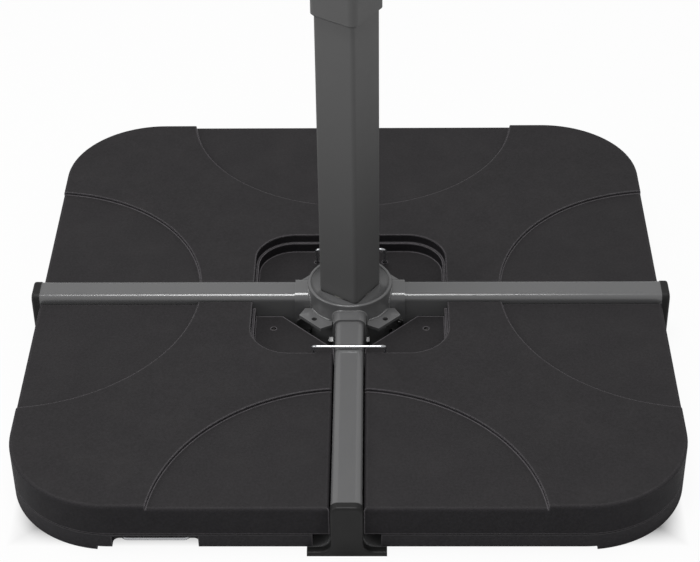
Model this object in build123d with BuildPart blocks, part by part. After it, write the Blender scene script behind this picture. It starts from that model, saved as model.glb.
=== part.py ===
from build123d import *
import os
from math import cos, radians, sin, sqrt

# Parasol base: a cross of four sheet-steel arms on a hub that carries a turning mast,
# held down by four filled casings, one in each quarter of the cross.
# Frame: millimetres, +Z up, +Y to the rear, origin on the floor under the hub's axis.

# ---- driving dimensions -------------------------------------------------------------
ARM_REACH = 500.0          # hub axis to the outer face of an end cap
WEIGHT_INSET = 13.0        # end cap's face to a weight's outer wall
CAP_THICK = 12.5           # end cap, seen from the side
SHEET = 3.0                # steel sheet of the arms
ARM_LIFT = 3.0             # floor to the underside of the arms
RIB_HALF = 22.0            # half the width of an arm's rib
RIB_PROUD = 7.0            # rib above the weights
RIB_SHOULDER = 10.0        # radius along the rib's top edges
RIB_FLARE = 24.0           # radius between rib and flange
FLANGE_OUT = 34.0          # rib's side to a flange's edge
ARM_GAP = 4.0              # drum to the inner end of an arm
CAP_PROUD = 1.0            # cap's outline beyond the arm's
CAP_EDGE = 4.0             # rounding of the cap's front edge
CAP_FLARE = 16.0           # the cap's own radius between rib and flange
CAP_PLUG = 25.0            # depth of the plug inside the rib

DRUM_RADIUS = 66.0         # outside of the hub drum
DRUM_WALL = 5.0
DRUM_LOW = 10.0
DRUM_PROUD = 14.0          # drum above the ribs
DRUM_RIM = 2.2             # rounding of the drum's top edge, inside and out
FLOOR_LOW = 14.0           # underside of the hub floor
FLOOR_THICK = 8.0
SADDLE_LENGTH = 20.0       # drum to the outer end of a saddle
SADDLE_WALL = 3.5
SADDLE_LOW = 28.0
SADDLE_GAP = 0.2           # saddle to rib
GUSSET_LOW = 66.0
GUSSET_THICK = 5.0
GUSSET_OUT = 21.7          # drum to a gusset's outer edge
GUSSET_TIP_HALF = 24.0     # half the length of that edge
GUSSET_GAP = 1.8           # saddle to a gusset's side edge
GUSSET_STEP = 4.0          # drum to where that edge ends and the slant to the tip starts
ANCHOR_OUT = 12.0          # drum to the middle of an anchor hole
ANCHOR_HOLE = 4.25
CROSS_BOLT = 4.0           # radius of the bolts that hold the arms
CROSS_BOLT_HOLE = 4.25
CROSS_BOLT_OUT = 11.0      # drum to the bolts' axis
CROSS_BOLT_LEVEL = 45.0
CROSS_HEAD = 6.5           # half the width across the flats
CROSS_HEAD_THICK = 5.3
CROSS_NUT_THICK = 6.5
CROSS_BOLT_PROUD = 1.6     # thread beyond the nut

MAST_SIDE = 70.0
MAST_CORNER = 6.0
MAST_WALL = 3.0
MAST_TURN = -33.6          # how far the mast is turned about its axis, degrees
MAST_TOP = 640.0
COLLAR_LOW = 582.0
COLLAR_TOP = 690.0
COLLAR_WALL = 4.8
COLLAR_GAP = 0.2           # collar to mast tube
COLLAR_BEVEL = 4.0
COLLAR_SCREW_LEVEL = 608.0
COLLAR_SCREW = 3.0
COLLAR_SCREW_HEAD = 5.5
COLLAR_SCREW_HEAD_THICK = 3.3
COLLAR_SCREW_TAPER = 25.0  # degrees
COLLAR_SCREW_SPREAD = 17.0 # mid-face to a screw
COLLAR_SCREW_SIDES = (90, 180)   # faces that carry screws, degrees from the mast's turn
JOURNAL_LOW = 20.0         # radius of the mast foot in the lower bush
JOURNAL_HIGH = 30.0        # radius in the upper bush
RUNNING_GAP = 0.05         # journal to bush
BUSH_WALL = 4.0
SEAT_WALL = 6.0
SEAT_HEIGHT = 20.0
THRUST_THICK = 4.0
THRUST_GAP = 0.1
RING_DEPTH = 20.0          # drum's top to the underside of the upper bearing ring
RING_SUNK = 11.0           # drum's top to the ring's top
RING_DISH = 8.5            # rise of the ring's top towards the drum
RING_HOLLOW = 0.3          # share of that rise reached half way out
MAST_SUNK = 7.0            # drum's top to the bottom of the mast tube
PLUG_LENGTH = 45.0
PLUG_GAP = 0.1
SHOULDER_INSET = 0.5
FOOT_GAP = 1.0             # hub floor to the end of the mast foot
SHOULDER_THICK = 2.4       # square shoulder under the mast tube
STUD_RADIUS = 8.0          # retaining bolt under the mast foot
STUD_GAP = 1.0             # bolt to the hole in the hub floor
STUD_HEAD = 12.0
STUD_HEAD_THICK = 8.0
STUD_DEPTH = 30.0
WASHER_RADIUS = 24.0
WASHER_THICK = 3.0
WASHER_GAP = 0.2

INNER_GAP = 2.0            # rib to the upper part of a weight
LOWER_GAP = 26.0           # rib to the lower part of a weight
OUTER_CORNER = 155.0       # radius of a weight's outer corner
SMALL_CORNER = 16.0        # radius of the corners beside the arms
CASE_WALL = 4.0
WEIGHT_TOP = 83.0
ARC_STEP = 5.0             # how far the arc fields lie below the top
ARC_BEYOND = 15.0          # arm's end to an arc's centre
ARC_RADIUS = 279.0
SPLIT_LEVEL = 29.0         # cover meets tray
SEAM = 1.5                 # bevel along that seam
TRAY_GAP = 0.2             # tray to the flanges it stands on
FOOT_LENGTH = 137.0        # corner foot, from the outer wall inwards
RIM_RADIUS = 4.5           # rounding along the top's outer edges
STEP_RADIUS = 1.5          # rounding along the arcs and round the pocket
POCKET_HALF = 152.0        # half the width of the pocket around the hub
POCKET_CORNER = 62.0
POCKET_DEPTH = 31.0
LEDGE = 4.0                # ledge in the pocket's wall
LEDGE_DEPTH = 15.0         # top to the ledge
HUB_GAP = 4.2              # gussets to the weights' inner corners
CORE_GAP = 0.3             # filling to casing
LINK_SIDE = 31.0           # link holes: distance from the weight's edge beside one arm
LINK_FAR = 119.0           # and from the other arm's centre line
LINK_HOLE = 4.0
CASE_SCREW = 2.0
CASE_SCREW_HEAD = 4.2
CASE_SCREW_HEAD_THICK = 3.0
CASE_SCREW_DEPTH = 14.0    # thread in the cover's boss
CASE_SCREW_SUNK = 1.0
BOSS_RADIUS = 7.0          # columns inside the casing that take the case screws
SCREW_GAP = 0.3
SCREW_SIDE = 27.0          # case screws: from the tray's edges beside the arms
SCREW_WALL = 35.0          # from the outer walls
SCREW_CORNER = 75.0        # from both outer walls, at the corner
SCREW_HUB = 112.0          # from both arms' centre lines, near the hub

HANDLE_SHIFT = 0.5         # middle of the wall to the middle of the handle
HANDLE_WIRE = 3.0          # radius
HANDLE_HALF = 47.0         # half the distance between its legs
HANDLE_INSET = 9.0         # weight's wall to the bar
HANDLE_LEVEL = 14.0
HANDLE_BEND = 8.0
HANDLE_LEG = 53.0
HANDLE_HOOK = 9.0
NOTCH_WIDTH = 121.0
NOTCH_DEPTH = 17.0
NOTCH_CEILING = 3.0
NOTCH_CORNER = 8.0
GUIDE_GAP = 0.4

CLIP_WIRE = 2.5            # radius
CLIP_DEPTH = 20.0          # pocket floor to the ends of the legs
CLIP_RISE = 8.0            # pocket floor to where the legs start to lean outwards
CLIP_PROUD = 4.0           # rib to the centre of the bar
CLIP_BEND = 7.0

ARMS = {"right": 0, "rear": 90, "left": 180, "front": 270}
WEIGHTS = {"rear_right": 0, "rear_left": 90, "front_left": 180, "front_right": 270}
CLIPS = {"rear": (0, -23.0), "front": (180, 33.0)}   # turn, and how far out the bar leans

# ---- sizes that follow from them ----------------------------------------------------
WEIGHT_REACH = ARM_REACH - WEIGHT_INSET
RIB_TOP = WEIGHT_TOP + RIB_PROUD
FLANGE_HALF = RIB_HALF + FLANGE_OUT
SHEET_END = ARM_REACH - CAP_THICK
FLANGE_TOP = ARM_LIFT + SHEET
ARM_INNER = DRUM_RADIUS + ARM_GAP
DRUM_TOP = RIB_TOP + DRUM_PROUD
SADDLE_OUT = DRUM_RADIUS + SADDLE_LENGTH
SADDLE_HALF = RIB_HALF + SADDLE_GAP + SADDLE_WALL
GUSSET_ROOT = SADDLE_HALF + GUSSET_GAP
GUSSET_SHOULDER = DRUM_RADIUS + GUSSET_STEP
GUSSET_REACH = DRUM_RADIUS + GUSSET_OUT
ANCHOR_RADIUS = DRUM_RADIUS + ANCHOR_OUT
CROSS_BOLT_REACH = DRUM_RADIUS + CROSS_BOLT_OUT
INNER_EDGE = RIB_HALF + INNER_GAP
LOWER_EDGE = RIB_HALF + LOWER_GAP
HUB_DIAGONAL = sqrt(2) * (GUSSET_REACH + HUB_GAP)
TRAY_LOW = FLANGE_TOP + TRAY_GAP
ARC_CENTRE = ARM_REACH + ARC_BEYOND
ARC_LEVEL = WEIGHT_TOP - ARC_STEP
POCKET_FLOOR = WEIGHT_TOP - POCKET_DEPTH
LEDGE_LEVEL = WEIGHT_TOP - LEDGE_DEPTH
FOOT_EDGE = WEIGHT_REACH - FOOT_LENGTH
SEAT_LOW = FLOOR_LOW + FLOOR_THICK
SEAT_TOP = SEAT_LOW + SEAT_HEIGHT
THRUST_TOP = SEAT_TOP + THRUST_THICK
BUSH_OUTER = JOURNAL_LOW + RUNNING_GAP + BUSH_WALL
RING_LOW = DRUM_TOP - RING_DEPTH
RING_TOP = DRUM_TOP - RING_SUNK
RING_BORE = JOURNAL_HIGH + RUNNING_GAP + BUSH_WALL
MAST_LOW = DRUM_TOP - MAST_SUNK
DRUM_BORE = DRUM_RADIUS - DRUM_WALL
COLLAR_BORE = MAST_SIDE + 2 * COLLAR_GAP
COLLAR_SIDE = COLLAR_BORE + 2 * COLLAR_WALL
NOTCH_WALL = WEIGHT_REACH - NOTCH_DEPTH
MAST_CORNER_REACH = (MAST_SIDE / 2 - MAST_CORNER) * sqrt(2) + MAST_CORNER
FOOT_LOW = SEAT_LOW + FOOT_GAP
SHOULDER_LOW = MAST_LOW - SHOULDER_THICK
WASHER_LOW = FLOOR_LOW - WASHER_GAP - WASHER_THICK
COLLAR_SCREW_SPOTS = (
    (-COLLAR_SCREW_SPREAD, COLLAR_SCREW_LEVEL),
    (COLLAR_SCREW_SPREAD, COLLAR_SCREW_LEVEL),
)
HANDLE_CENTRE = (LOWER_EDGE + WEIGHT_REACH) / 2 + HANDLE_SHIFT
HANDLE_BACK = NOTCH_WALL - HANDLE_LEG
HANDLE_SPOTS = (
    (-HANDLE_CENTRE - HANDLE_HALF, HANDLE_LEVEL),
    (-HANDLE_CENTRE + HANDLE_HALF, HANDLE_LEVEL),
)
LINK_NEAR = INNER_EDGE + LINK_SIDE
LINK_SPOTS = ((LINK_NEAR, LINK_FAR), (LINK_FAR, LINK_NEAR))
CLIP_LOW = POCKET_FLOOR - CLIP_DEPTH
CLIP_KNEE = POCKET_FLOOR + CLIP_RISE
CLIP_LEVEL = RIB_TOP + CLIP_PROUD
SCREW_SPOTS = (
    (LOWER_EDGE + SCREW_SIDE, WEIGHT_REACH - SCREW_WALL),
    (WEIGHT_REACH - SCREW_WALL, LOWER_EDGE + SCREW_SIDE),
    (WEIGHT_REACH - SCREW_CORNER, WEIGHT_REACH - SCREW_CORNER),
    (SCREW_HUB, SCREW_HUB),
)
SCREW_SEAT = TRAY_LOW + CASE_SCREW_SUNK + CASE_SCREW_HEAD_THICK
LEVEL_SLACK = 0.01         # tolerance when edges are picked by their height


def save(piece, name):
    """Label a finished piece and write its STEP file."""
    piece.part.label = name
    export_step(piece.part, f"parts/{name}.step")


def across(angle, reach):
    """Plane square to an arm: local x runs sideways, local y up."""
    turn = radians(angle)
    return Plane(
        origin=(reach * cos(turn), reach * sin(turn), 0),
        x_dir=(-sin(turn), cos(turn), 0),
        z_dir=(cos(turn), sin(turn), 0),
    )


def along(angle, offset):
    """Upright plane along an arm, offset to its side: local x runs outwards, local y up."""
    turn = radians(angle)
    return Plane(
        origin=(-offset * sin(turn), offset * cos(turn), 0),
        x_dir=(cos(turn), sin(turn), 0),
        z_dir=(sin(turn), -cos(turn), 0),
    )


def deck(turn, level):
    """Level plane turned about the hub axis."""
    return Plane.XY.rotated((0, 0, turn)).offset(level)


def nearest(points, x, y):
    """The sketch corner closest to a place."""
    return points.sort_by_distance(Vector(x, y, 0))[0]


def rib(half, top, shoulder, low, mode=Mode.ADD):
    """Face of a plain rib with rounded shoulders, in the sketch being drawn."""
    with BuildLine() as outline:
        FilletPolyline((-half, low), (-half, top), (half, top), (half, low), radius=shoulder)
        Line((half, low), (-half, low))
    make_face(outline.edges(), mode=mode)


def flares(half, low, radius, mode=Mode.ADD):
    """The two hollow fillets that lead from a rib down to a flange."""
    for side in (-1, 1):
        centre = (side * (half + radius), low + radius)
        with BuildLine() as outline:
            Line((side * half, low), (side * (half + radius), low))
            CenterArc(centre, radius, 270, -90 * side)
            Line((side * half, low + radius), (side * half, low))
        make_face(outline.edges(), mode=mode)


def wire(path, radius):
    """Round wire along a bent path, added to the part being built."""
    with BuildSketch(Plane(origin=path.line @ 0, z_dir=path.line % 0)) as section:
        Circle(radius)
    sweep(section.sketch, path=path.line)


# ---- arms ----------------------------------------------------------------------------
def make_arm(side, angle):
    """Hat-section arm: a rib of folded sheet between two flat flanges."""
    with BuildPart() as arm:
        with BuildSketch(across(angle, ARM_INNER)):
            rib(RIB_HALF, RIB_TOP, RIB_SHOULDER, ARM_LIFT)
            flares(RIB_HALF, FLANGE_TOP, RIB_FLARE)
            with Locations((0, ARM_LIFT + SHEET / 2)):
                Rectangle(2 * FLANGE_HALF, SHEET)
            rib(RIB_HALF - SHEET, RIB_TOP - SHEET, RIB_SHOULDER - SHEET, 0, Mode.SUBTRACT)
            flares(RIB_HALF - SHEET, ARM_LIFT, RIB_FLARE + SHEET, Mode.SUBTRACT)
        extrude(amount=SHEET_END - ARM_INNER)
        with BuildSketch(along(angle, 0)):
            with Locations((CROSS_BOLT_REACH, CROSS_BOLT_LEVEL)):
                Circle(CROSS_BOLT_HOLE)
        extrude(amount=2 * RIB_HALF, both=True, mode=Mode.SUBTRACT)
    save(arm, f"arm_{side}")


def make_end_cap(side, angle):
    """Moulded cap: a face with the arm's outline, and a plug that grips inside the rib."""
    outwards = Axis((0, 0, 0), (cos(radians(angle)), sin(radians(angle)), 0))
    with BuildPart() as cap:
        with BuildSketch(across(angle, SHEET_END)):
            rib(RIB_HALF + CAP_PROUD, RIB_TOP + CAP_PROUD, RIB_SHOULDER + CAP_PROUD, 0)
            flares(RIB_HALF + CAP_PROUD, FLANGE_TOP, CAP_FLARE)
            with Locations((0, FLANGE_TOP / 2)):
                Rectangle(2 * FLANGE_HALF, FLANGE_TOP)
        extrude(amount=CAP_THICK)
        rim = cap.faces().sort_by(outwards)[-1].edges().sort_by(Axis.Z)
        fillet(rim[-3:], CAP_EDGE)
        with BuildSketch(across(angle, SHEET_END - CAP_PLUG)):
            rib(
                RIB_HALF - SHEET - PLUG_GAP,
                RIB_TOP - SHEET - PLUG_GAP,
                RIB_SHOULDER - SHEET,
                SADDLE_LOW,
            )
        extrude(amount=CAP_PLUG)
    save(cap, f"end_cap_{side}")


# ---- hub -----------------------------------------------------------------------------
def make_hub_shell():
    """Drum, its floor and the four plates that stand out between the arms."""
    with BuildPart() as drum:
        with BuildSketch(Plane.XY.offset(DRUM_LOW)):
            Circle(DRUM_RADIUS)
            Circle(DRUM_BORE, mode=Mode.SUBTRACT)
        extrude(amount=DRUM_TOP - DRUM_LOW)
        fillet(drum.edges().group_by(Axis.Z)[-1], min(DRUM_RIM, 0.45 * DRUM_WALL))
    save(drum, "hub_drum")

    with BuildPart() as floor:
        with BuildSketch(Plane.XY.offset(FLOOR_LOW)):
            Circle(DRUM_BORE)
            Circle(STUD_RADIUS + STUD_GAP, mode=Mode.SUBTRACT)
        extrude(amount=FLOOR_THICK)
    save(floor, "hub_floor")

    tip = GUSSET_REACH / sqrt(2)
    half = GUSSET_TIP_HALF / sqrt(2)
    hole = ANCHOR_RADIUS / sqrt(2)
    with BuildPart() as gussets:
        for turn in WEIGHTS.values():
            with BuildSketch(deck(turn, GUSSET_LOW)):
                with BuildLine():
                    Polyline(
                        (GUSSET_ROOT, GUSSET_ROOT),
                        (GUSSET_ROOT, GUSSET_SHOULDER),
                        (tip - half, tip + half),
                        (tip + half, tip - half),
                        (GUSSET_SHOULDER, GUSSET_ROOT),
                        close=True,
                    )
                make_face()
                Circle(DRUM_RADIUS, mode=Mode.SUBTRACT)
                with Locations((hole, hole)):
                    Circle(ANCHOR_HOLE, mode=Mode.SUBTRACT)
            extrude(amount=GUSSET_THICK)
    save(gussets, "hub_gussets")


def make_saddle(side, angle):
    """Bridge welded to the drum, which the inner end of an arm slides under."""
    with BuildPart() as saddle:
        with BuildSketch(across(angle, 0)):
            outer = SADDLE_GAP + SADDLE_WALL
            rib(SADDLE_HALF, RIB_TOP + outer, RIB_SHOULDER + outer, SADDLE_LOW)
            rib(
                RIB_HALF + SADDLE_GAP,
                RIB_TOP + SADDLE_GAP,
                RIB_SHOULDER + SADDLE_GAP,
                SADDLE_LOW,
                Mode.SUBTRACT,
            )
        extrude(amount=SADDLE_OUT)
        with BuildSketch(Plane.XY):
            Circle(DRUM_RADIUS)
        extrude(amount=DRUM_TOP, mode=Mode.SUBTRACT)
        with BuildSketch(along(angle, 0)):
            with Locations((CROSS_BOLT_REACH, CROSS_BOLT_LEVEL)):
                Circle(CROSS_BOLT_HOLE)
        extrude(amount=2 * SADDLE_HALF, both=True, mode=Mode.SUBTRACT)
    save(saddle, f"arm_saddle_{side}")


def make_arm_fasteners():
    """One bolt and nut across each saddle and the rib inside it."""
    spot = (CROSS_BOLT_REACH, CROSS_BOLT_LEVEL)
    with BuildPart() as bolts:
        for angle in ARMS.values():
            with BuildSketch(along(angle, SADDLE_HALF + CROSS_HEAD_THICK)):
                with Locations(spot):
                    RegularPolygon(CROSS_HEAD, 6, major_radius=False)
            extrude(amount=CROSS_HEAD_THICK)
            with BuildSketch(along(angle, SADDLE_HALF)):
                with Locations(spot):
                    Circle(CROSS_BOLT)
            extrude(amount=2 * SADDLE_HALF + CROSS_NUT_THICK + CROSS_BOLT_PROUD)
    save(bolts, "arm_bolts")

    with BuildPart() as nuts:
        for angle in ARMS.values():
            with BuildSketch(along(angle, -SADDLE_HALF)):
                with Locations(spot):
                    RegularPolygon(CROSS_HEAD, 6, major_radius=False)
                    Circle(CROSS_BOLT, mode=Mode.SUBTRACT)
            extrude(amount=CROSS_NUT_THICK)
    save(nuts, "arm_nuts")


def make_ring(name, bore, outside, low, height):
    """Plain round ring about the hub axis."""
    with BuildPart() as ring:
        with BuildSketch(Plane.XY.offset(low)):
            Circle(outside)
            Circle(bore, mode=Mode.SUBTRACT)
        extrude(amount=height)
    save(ring, name)


def make_bearings():
    """What the mast foot turns in: a seat and bush below, a ring and bush above."""
    low_bore = JOURNAL_LOW + RUNNING_GAP
    high_bore = JOURNAL_HIGH + RUNNING_GAP
    seat_outside = BUSH_OUTER + SEAT_WALL
    make_ring("lower_bearing_seat", BUSH_OUTER, seat_outside, SEAT_LOW, SEAT_HEIGHT)
    make_ring("lower_bush", low_bore, BUSH_OUTER, SEAT_LOW, SEAT_HEIGHT)
    make_ring("thrust_washer", low_bore, seat_outside, SEAT_TOP, THRUST_THICK)
    make_ring("upper_bush", high_bore, RING_BORE, RING_LOW, RING_TOP - RING_LOW)
    with BuildPart() as ring:
        with BuildSketch(Plane.XZ):
            with BuildLine():
                Polyline(
                    (MAST_CORNER_REACH, RING_TOP),
                    (RING_BORE, RING_TOP),
                    (RING_BORE, RING_LOW),
                    (DRUM_BORE, RING_LOW),
                    (DRUM_BORE, RING_TOP + RING_DISH),
                )
                ThreePointArc(
                    (DRUM_BORE, RING_TOP + RING_DISH),
                    ((DRUM_BORE + MAST_CORNER_REACH) / 2, RING_TOP + RING_HOLLOW * RING_DISH),
                    (MAST_CORNER_REACH, RING_TOP),
                )
            make_face()
        revolve(axis=Axis.Z)
    save(ring, "upper_bearing_ring")


# ---- mast ----------------------------------------------------------------------------
def make_mast_foot():
    """Turned foot: two journals, a square shoulder and a plug inside the mast tube."""
    plug_side = MAST_SIDE - 2 * (MAST_WALL + PLUG_GAP)
    shoulder_side = MAST_SIDE - 2 * SHOULDER_INSET
    with BuildPart() as foot:
        with BuildSketch(Plane.XY.offset(FOOT_LOW)):
            Circle(JOURNAL_LOW)
        extrude(amount=THRUST_TOP + THRUST_GAP - FOOT_LOW)
        with BuildSketch(Plane.XY.offset(THRUST_TOP + THRUST_GAP)):
            Circle(JOURNAL_HIGH)
        extrude(amount=SHOULDER_LOW - THRUST_TOP - THRUST_GAP)
        with BuildSketch(deck(MAST_TURN, SHOULDER_LOW)):
            RectangleRounded(shoulder_side, shoulder_side, MAST_CORNER - SHOULDER_INSET)
        extrude(amount=MAST_LOW - SHOULDER_LOW)
        with BuildSketch(deck(MAST_TURN, MAST_LOW)):
            RectangleRounded(plug_side, plug_side, MAST_CORNER - MAST_WALL)
        extrude(amount=PLUG_LENGTH)
        with BuildSketch(Plane.XY.offset(FOOT_LOW)):
            Circle(STUD_RADIUS)
        extrude(amount=STUD_DEPTH, mode=Mode.SUBTRACT)
    save(foot, "mast_foot")


def collar_holes(depth):
    """Cut the collar screws' holes in the two rear faces, from the outside inwards."""
    for side in COLLAR_SCREW_SIDES:
        with BuildSketch(across(MAST_TURN + side, COLLAR_SIDE / 2)) as holes:
            with Locations(*COLLAR_SCREW_SPOTS):
                Circle(COLLAR_SCREW)
        extrude(holes.sketch, amount=-depth, mode=Mode.SUBTRACT)


def make_mast():
    """Square mast tube, the collar around its top and the screws that join them."""
    inside = MAST_SIDE - 2 * MAST_WALL
    with BuildPart() as tube:
        with BuildSketch(deck(MAST_TURN, MAST_LOW)):
            RectangleRounded(MAST_SIDE, MAST_SIDE, MAST_CORNER)
            RectangleRounded(inside, inside, MAST_CORNER - MAST_WALL, mode=Mode.SUBTRACT)
        extrude(amount=MAST_TOP - MAST_LOW)
        collar_holes(COLLAR_WALL + COLLAR_GAP + MAST_WALL)
    save(tube, "mast_tube")

    with BuildPart() as collar:
        with BuildSketch(deck(MAST_TURN, COLLAR_LOW)):
            RectangleRounded(COLLAR_SIDE, COLLAR_SIDE, MAST_CORNER + COLLAR_GAP + COLLAR_WALL)
        extrude(amount=COLLAR_TOP - COLLAR_LOW)
        chamfer(collar.edges().group_by(Axis.Z)[0], COLLAR_BEVEL)
        with BuildSketch(deck(MAST_TURN, COLLAR_LOW)):
            RectangleRounded(COLLAR_BORE, COLLAR_BORE, MAST_CORNER + COLLAR_GAP)
        extrude(amount=COLLAR_TOP - COLLAR_LOW, mode=Mode.SUBTRACT)
        collar_holes(COLLAR_WALL)
    save(collar, "mast_collar")

    with BuildPart() as screws:
        for side in COLLAR_SCREW_SIDES:
            with BuildSketch(across(MAST_TURN + side, COLLAR_SIDE / 2)):
                with Locations(*COLLAR_SCREW_SPOTS):
                    Circle(COLLAR_SCREW_HEAD)
            extrude(amount=COLLAR_SCREW_HEAD_THICK, taper=COLLAR_SCREW_TAPER)
            with BuildSketch(across(MAST_TURN + side, COLLAR_SIDE / 2)):
                with Locations(*COLLAR_SCREW_SPOTS):
                    Circle(COLLAR_SCREW)
            extrude(amount=-(COLLAR_WALL + COLLAR_GAP + MAST_WALL))
    save(screws, "collar_screws")


def make_retaining_bolt():
    """Bolt and washer that keep the mast foot in the hub from below."""
    head_low = WASHER_LOW - STUD_HEAD_THICK
    with BuildPart() as bolt:
        with BuildSketch(Plane.XY.offset(head_low)):
            RegularPolygon(STUD_HEAD, 6, major_radius=False)
        extrude(amount=STUD_HEAD_THICK)
        with BuildSketch(Plane.XY.offset(WASHER_LOW)):
            Circle(STUD_RADIUS)
        extrude(amount=FOOT_LOW + STUD_DEPTH - WASHER_LOW)
    save(bolt, "retaining_bolt")
    make_ring("retaining_washer", STUD_RADIUS, WASHER_RADIUS, WASHER_LOW, WASHER_THICK)


# ---- weights -------------------------------------------------------------------------
def quarter(edge, inset):
    """Outline of one quarter of the base, in the sketch being drawn.

    With an inset it is shrunk to the space inside the casing, around the screw bosses.
    """
    near_side = edge + inset
    far_side = WEIGHT_REACH - inset
    middle = (near_side + far_side) / 2
    with Locations((middle, middle)):
        square = Rectangle(far_side - near_side, far_side - near_side)
    corners = square.vertices()
    fillet(nearest(corners, far_side, far_side), OUTER_CORNER - inset)
    fillet(nearest(corners, near_side, far_side), SMALL_CORNER)
    fillet(nearest(corners, far_side, near_side), SMALL_CORNER)
    cut = sqrt(2) * HUB_DIAGONAL + 2 * inset
    Rectangle(cut, cut, rotation=45, mode=Mode.SUBTRACT)
    if inset:
        with Locations(*SCREW_SPOTS):
            Circle(BOSS_RADIUS + inset - CASE_WALL, mode=Mode.SUBTRACT)


def pocket(half, corner):
    """Take the pocket around the hub out of the sketch being drawn."""
    RectangleRounded(2 * half, 2 * half, corner, mode=Mode.SUBTRACT)


def upper_body(turn, low, inset, mode=Mode.ADD):
    """Weight above the seam: the shelf, the pocket's walls, the top and its arc fields."""
    floor = POCKET_FLOOR - inset
    ledge = LEDGE_LEVEL - inset
    field = ARC_LEVEL - inset
    with BuildSketch(deck(turn, low)) as shelf:
        quarter(INNER_EDGE, inset)
    extrude(shelf.sketch, amount=floor - low, mode=mode)
    with BuildSketch(deck(turn, floor)) as narrow_pocket:
        quarter(INNER_EDGE, inset)
        pocket(POCKET_HALF - LEDGE + inset, POCKET_CORNER - LEDGE + inset)
    extrude(narrow_pocket.sketch, amount=ledge - floor, mode=mode)
    with BuildSketch(deck(turn, ledge)) as wide_pocket:
        quarter(INNER_EDGE, inset)
        pocket(POCKET_HALF + inset, POCKET_CORNER + inset)
    extrude(wide_pocket.sketch, amount=field - ledge, mode=mode)
    with BuildSketch(deck(turn, field)) as top:
        quarter(INNER_EDGE, inset)
        pocket(POCKET_HALF + inset, POCKET_CORNER + inset)
        with Locations((ARC_CENTRE, 0), (0, ARC_CENTRE)):
            Circle(ARC_RADIUS + inset, mode=Mode.SUBTRACT)
    extrude(top.sketch, amount=ARC_STEP, mode=mode)


def drill(turn, spots, radius, low, high):
    """Upright round holes in the part being built."""
    with BuildSketch(deck(turn, low)) as holes:
        with Locations(*spots):
            Circle(radius)
    extrude(holes.sketch, amount=high - low, mode=Mode.SUBTRACT)


def lower_cavity(turn, low, high, inset, mode):
    """Space inside the tray, which goes round the handle's notch."""
    with BuildSketch(deck(turn, low)) as space:
        quarter(LOWER_EDGE, inset)
        with Locations((HANDLE_CENTRE, WEIGHT_REACH - NOTCH_DEPTH / 2)):
            Rectangle(NOTCH_WIDTH + 2 * inset, NOTCH_DEPTH + 2 * inset, mode=Mode.SUBTRACT)
    extrude(space.sketch, amount=high - low, mode=mode)


def is_rim(edge):
    """Whether an edge of the top runs along the weight's outside, not an arc or the pocket."""
    middle = edge.center()
    in_pocket = max(abs(middle.X), abs(middle.Y)) < POCKET_HALF + LEVEL_SLACK
    on_circle = edge.geom_type == GeomType.CIRCLE
    on_arc = on_circle and abs(edge.radius - ARC_RADIUS) < LEVEL_SLACK
    return not in_pocket and not on_arc


def make_cover(side, turn):
    """Upper shell of a weight, open below over the tray."""
    with BuildPart() as cover:
        upper_body(turn, SPLIT_LEVEL, 0)
        top = cover.faces().sort_by(Axis.Z)[-1].edges()
        fillet(top.filter_by(is_rim), RIM_RADIUS)
        field = cover.edges().filter_by_position(
            Axis.Z, ARC_LEVEL - LEVEL_SLACK, ARC_LEVEL + LEVEL_SLACK
        )
        fillet(field.filter_by(is_rim), RIM_RADIUS)
        top = cover.faces().sort_by(Axis.Z)[-1].edges()
        fillet(top.filter_by(is_rim, reverse=True), STEP_RADIUS)
        chamfer(cover.edges().group_by(Axis.Z)[0], SEAM)
        upper_body(turn, SPLIT_LEVEL + CASE_WALL, CASE_WALL, Mode.SUBTRACT)
        lower_cavity(turn, SPLIT_LEVEL, SPLIT_LEVEL + CASE_WALL, CASE_WALL, Mode.SUBTRACT)
        drill(turn, SCREW_SPOTS, CASE_SCREW, SPLIT_LEVEL, SPLIT_LEVEL + CASE_SCREW_DEPTH)
        drill(turn, LINK_SPOTS, LINK_HOLE, SPLIT_LEVEL, WEIGHT_TOP)
    save(cover, f"weight_cover_{side}")


def make_tray(side, turn):
    """Lower shell of a weight, with its corner foot and the notch for the handle."""
    foot_middle = (FOOT_EDGE + WEIGHT_REACH) / 2
    foot_side = WEIGHT_REACH - FOOT_EDGE
    ceiling = SPLIT_LEVEL - NOTCH_CEILING
    with BuildPart() as tray:
        with BuildSketch(deck(turn, TRAY_LOW)):
            quarter(LOWER_EDGE, 0)
        extrude(amount=SPLIT_LEVEL - TRAY_LOW)
        with BuildSketch(deck(turn, 0)):
            quarter(LOWER_EDGE, 0)
            with Locations((foot_middle, foot_middle)):
                Rectangle(foot_side, foot_side, mode=Mode.INTERSECT)
        extrude(amount=TRAY_LOW)
        with BuildSketch(deck(turn, TRAY_LOW)):
            with Locations((HANDLE_CENTRE, WEIGHT_REACH)):
                RectangleRounded(NOTCH_WIDTH, 2 * NOTCH_DEPTH, NOTCH_CORNER)
        extrude(amount=ceiling - TRAY_LOW, mode=Mode.SUBTRACT)
        lower_cavity(turn, TRAY_LOW + CASE_WALL, SPLIT_LEVEL, CASE_WALL, Mode.SUBTRACT)
        drill(turn, SCREW_SPOTS, CASE_SCREW_HEAD + SCREW_GAP, TRAY_LOW, SCREW_SEAT)
        drill(turn, SCREW_SPOTS, CASE_SCREW + SCREW_GAP, SCREW_SEAT, SPLIT_LEVEL)
        drill(turn, LINK_SPOTS, LINK_HOLE, TRAY_LOW, SPLIT_LEVEL)
        with BuildSketch(across(turn + 90, NOTCH_WALL)):
            with Locations(*HANDLE_SPOTS):
                Circle(HANDLE_WIRE + GUIDE_GAP)
        extrude(amount=-CASE_WALL, mode=Mode.SUBTRACT)
    save(tray, f"weight_tray_{side}")


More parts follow.
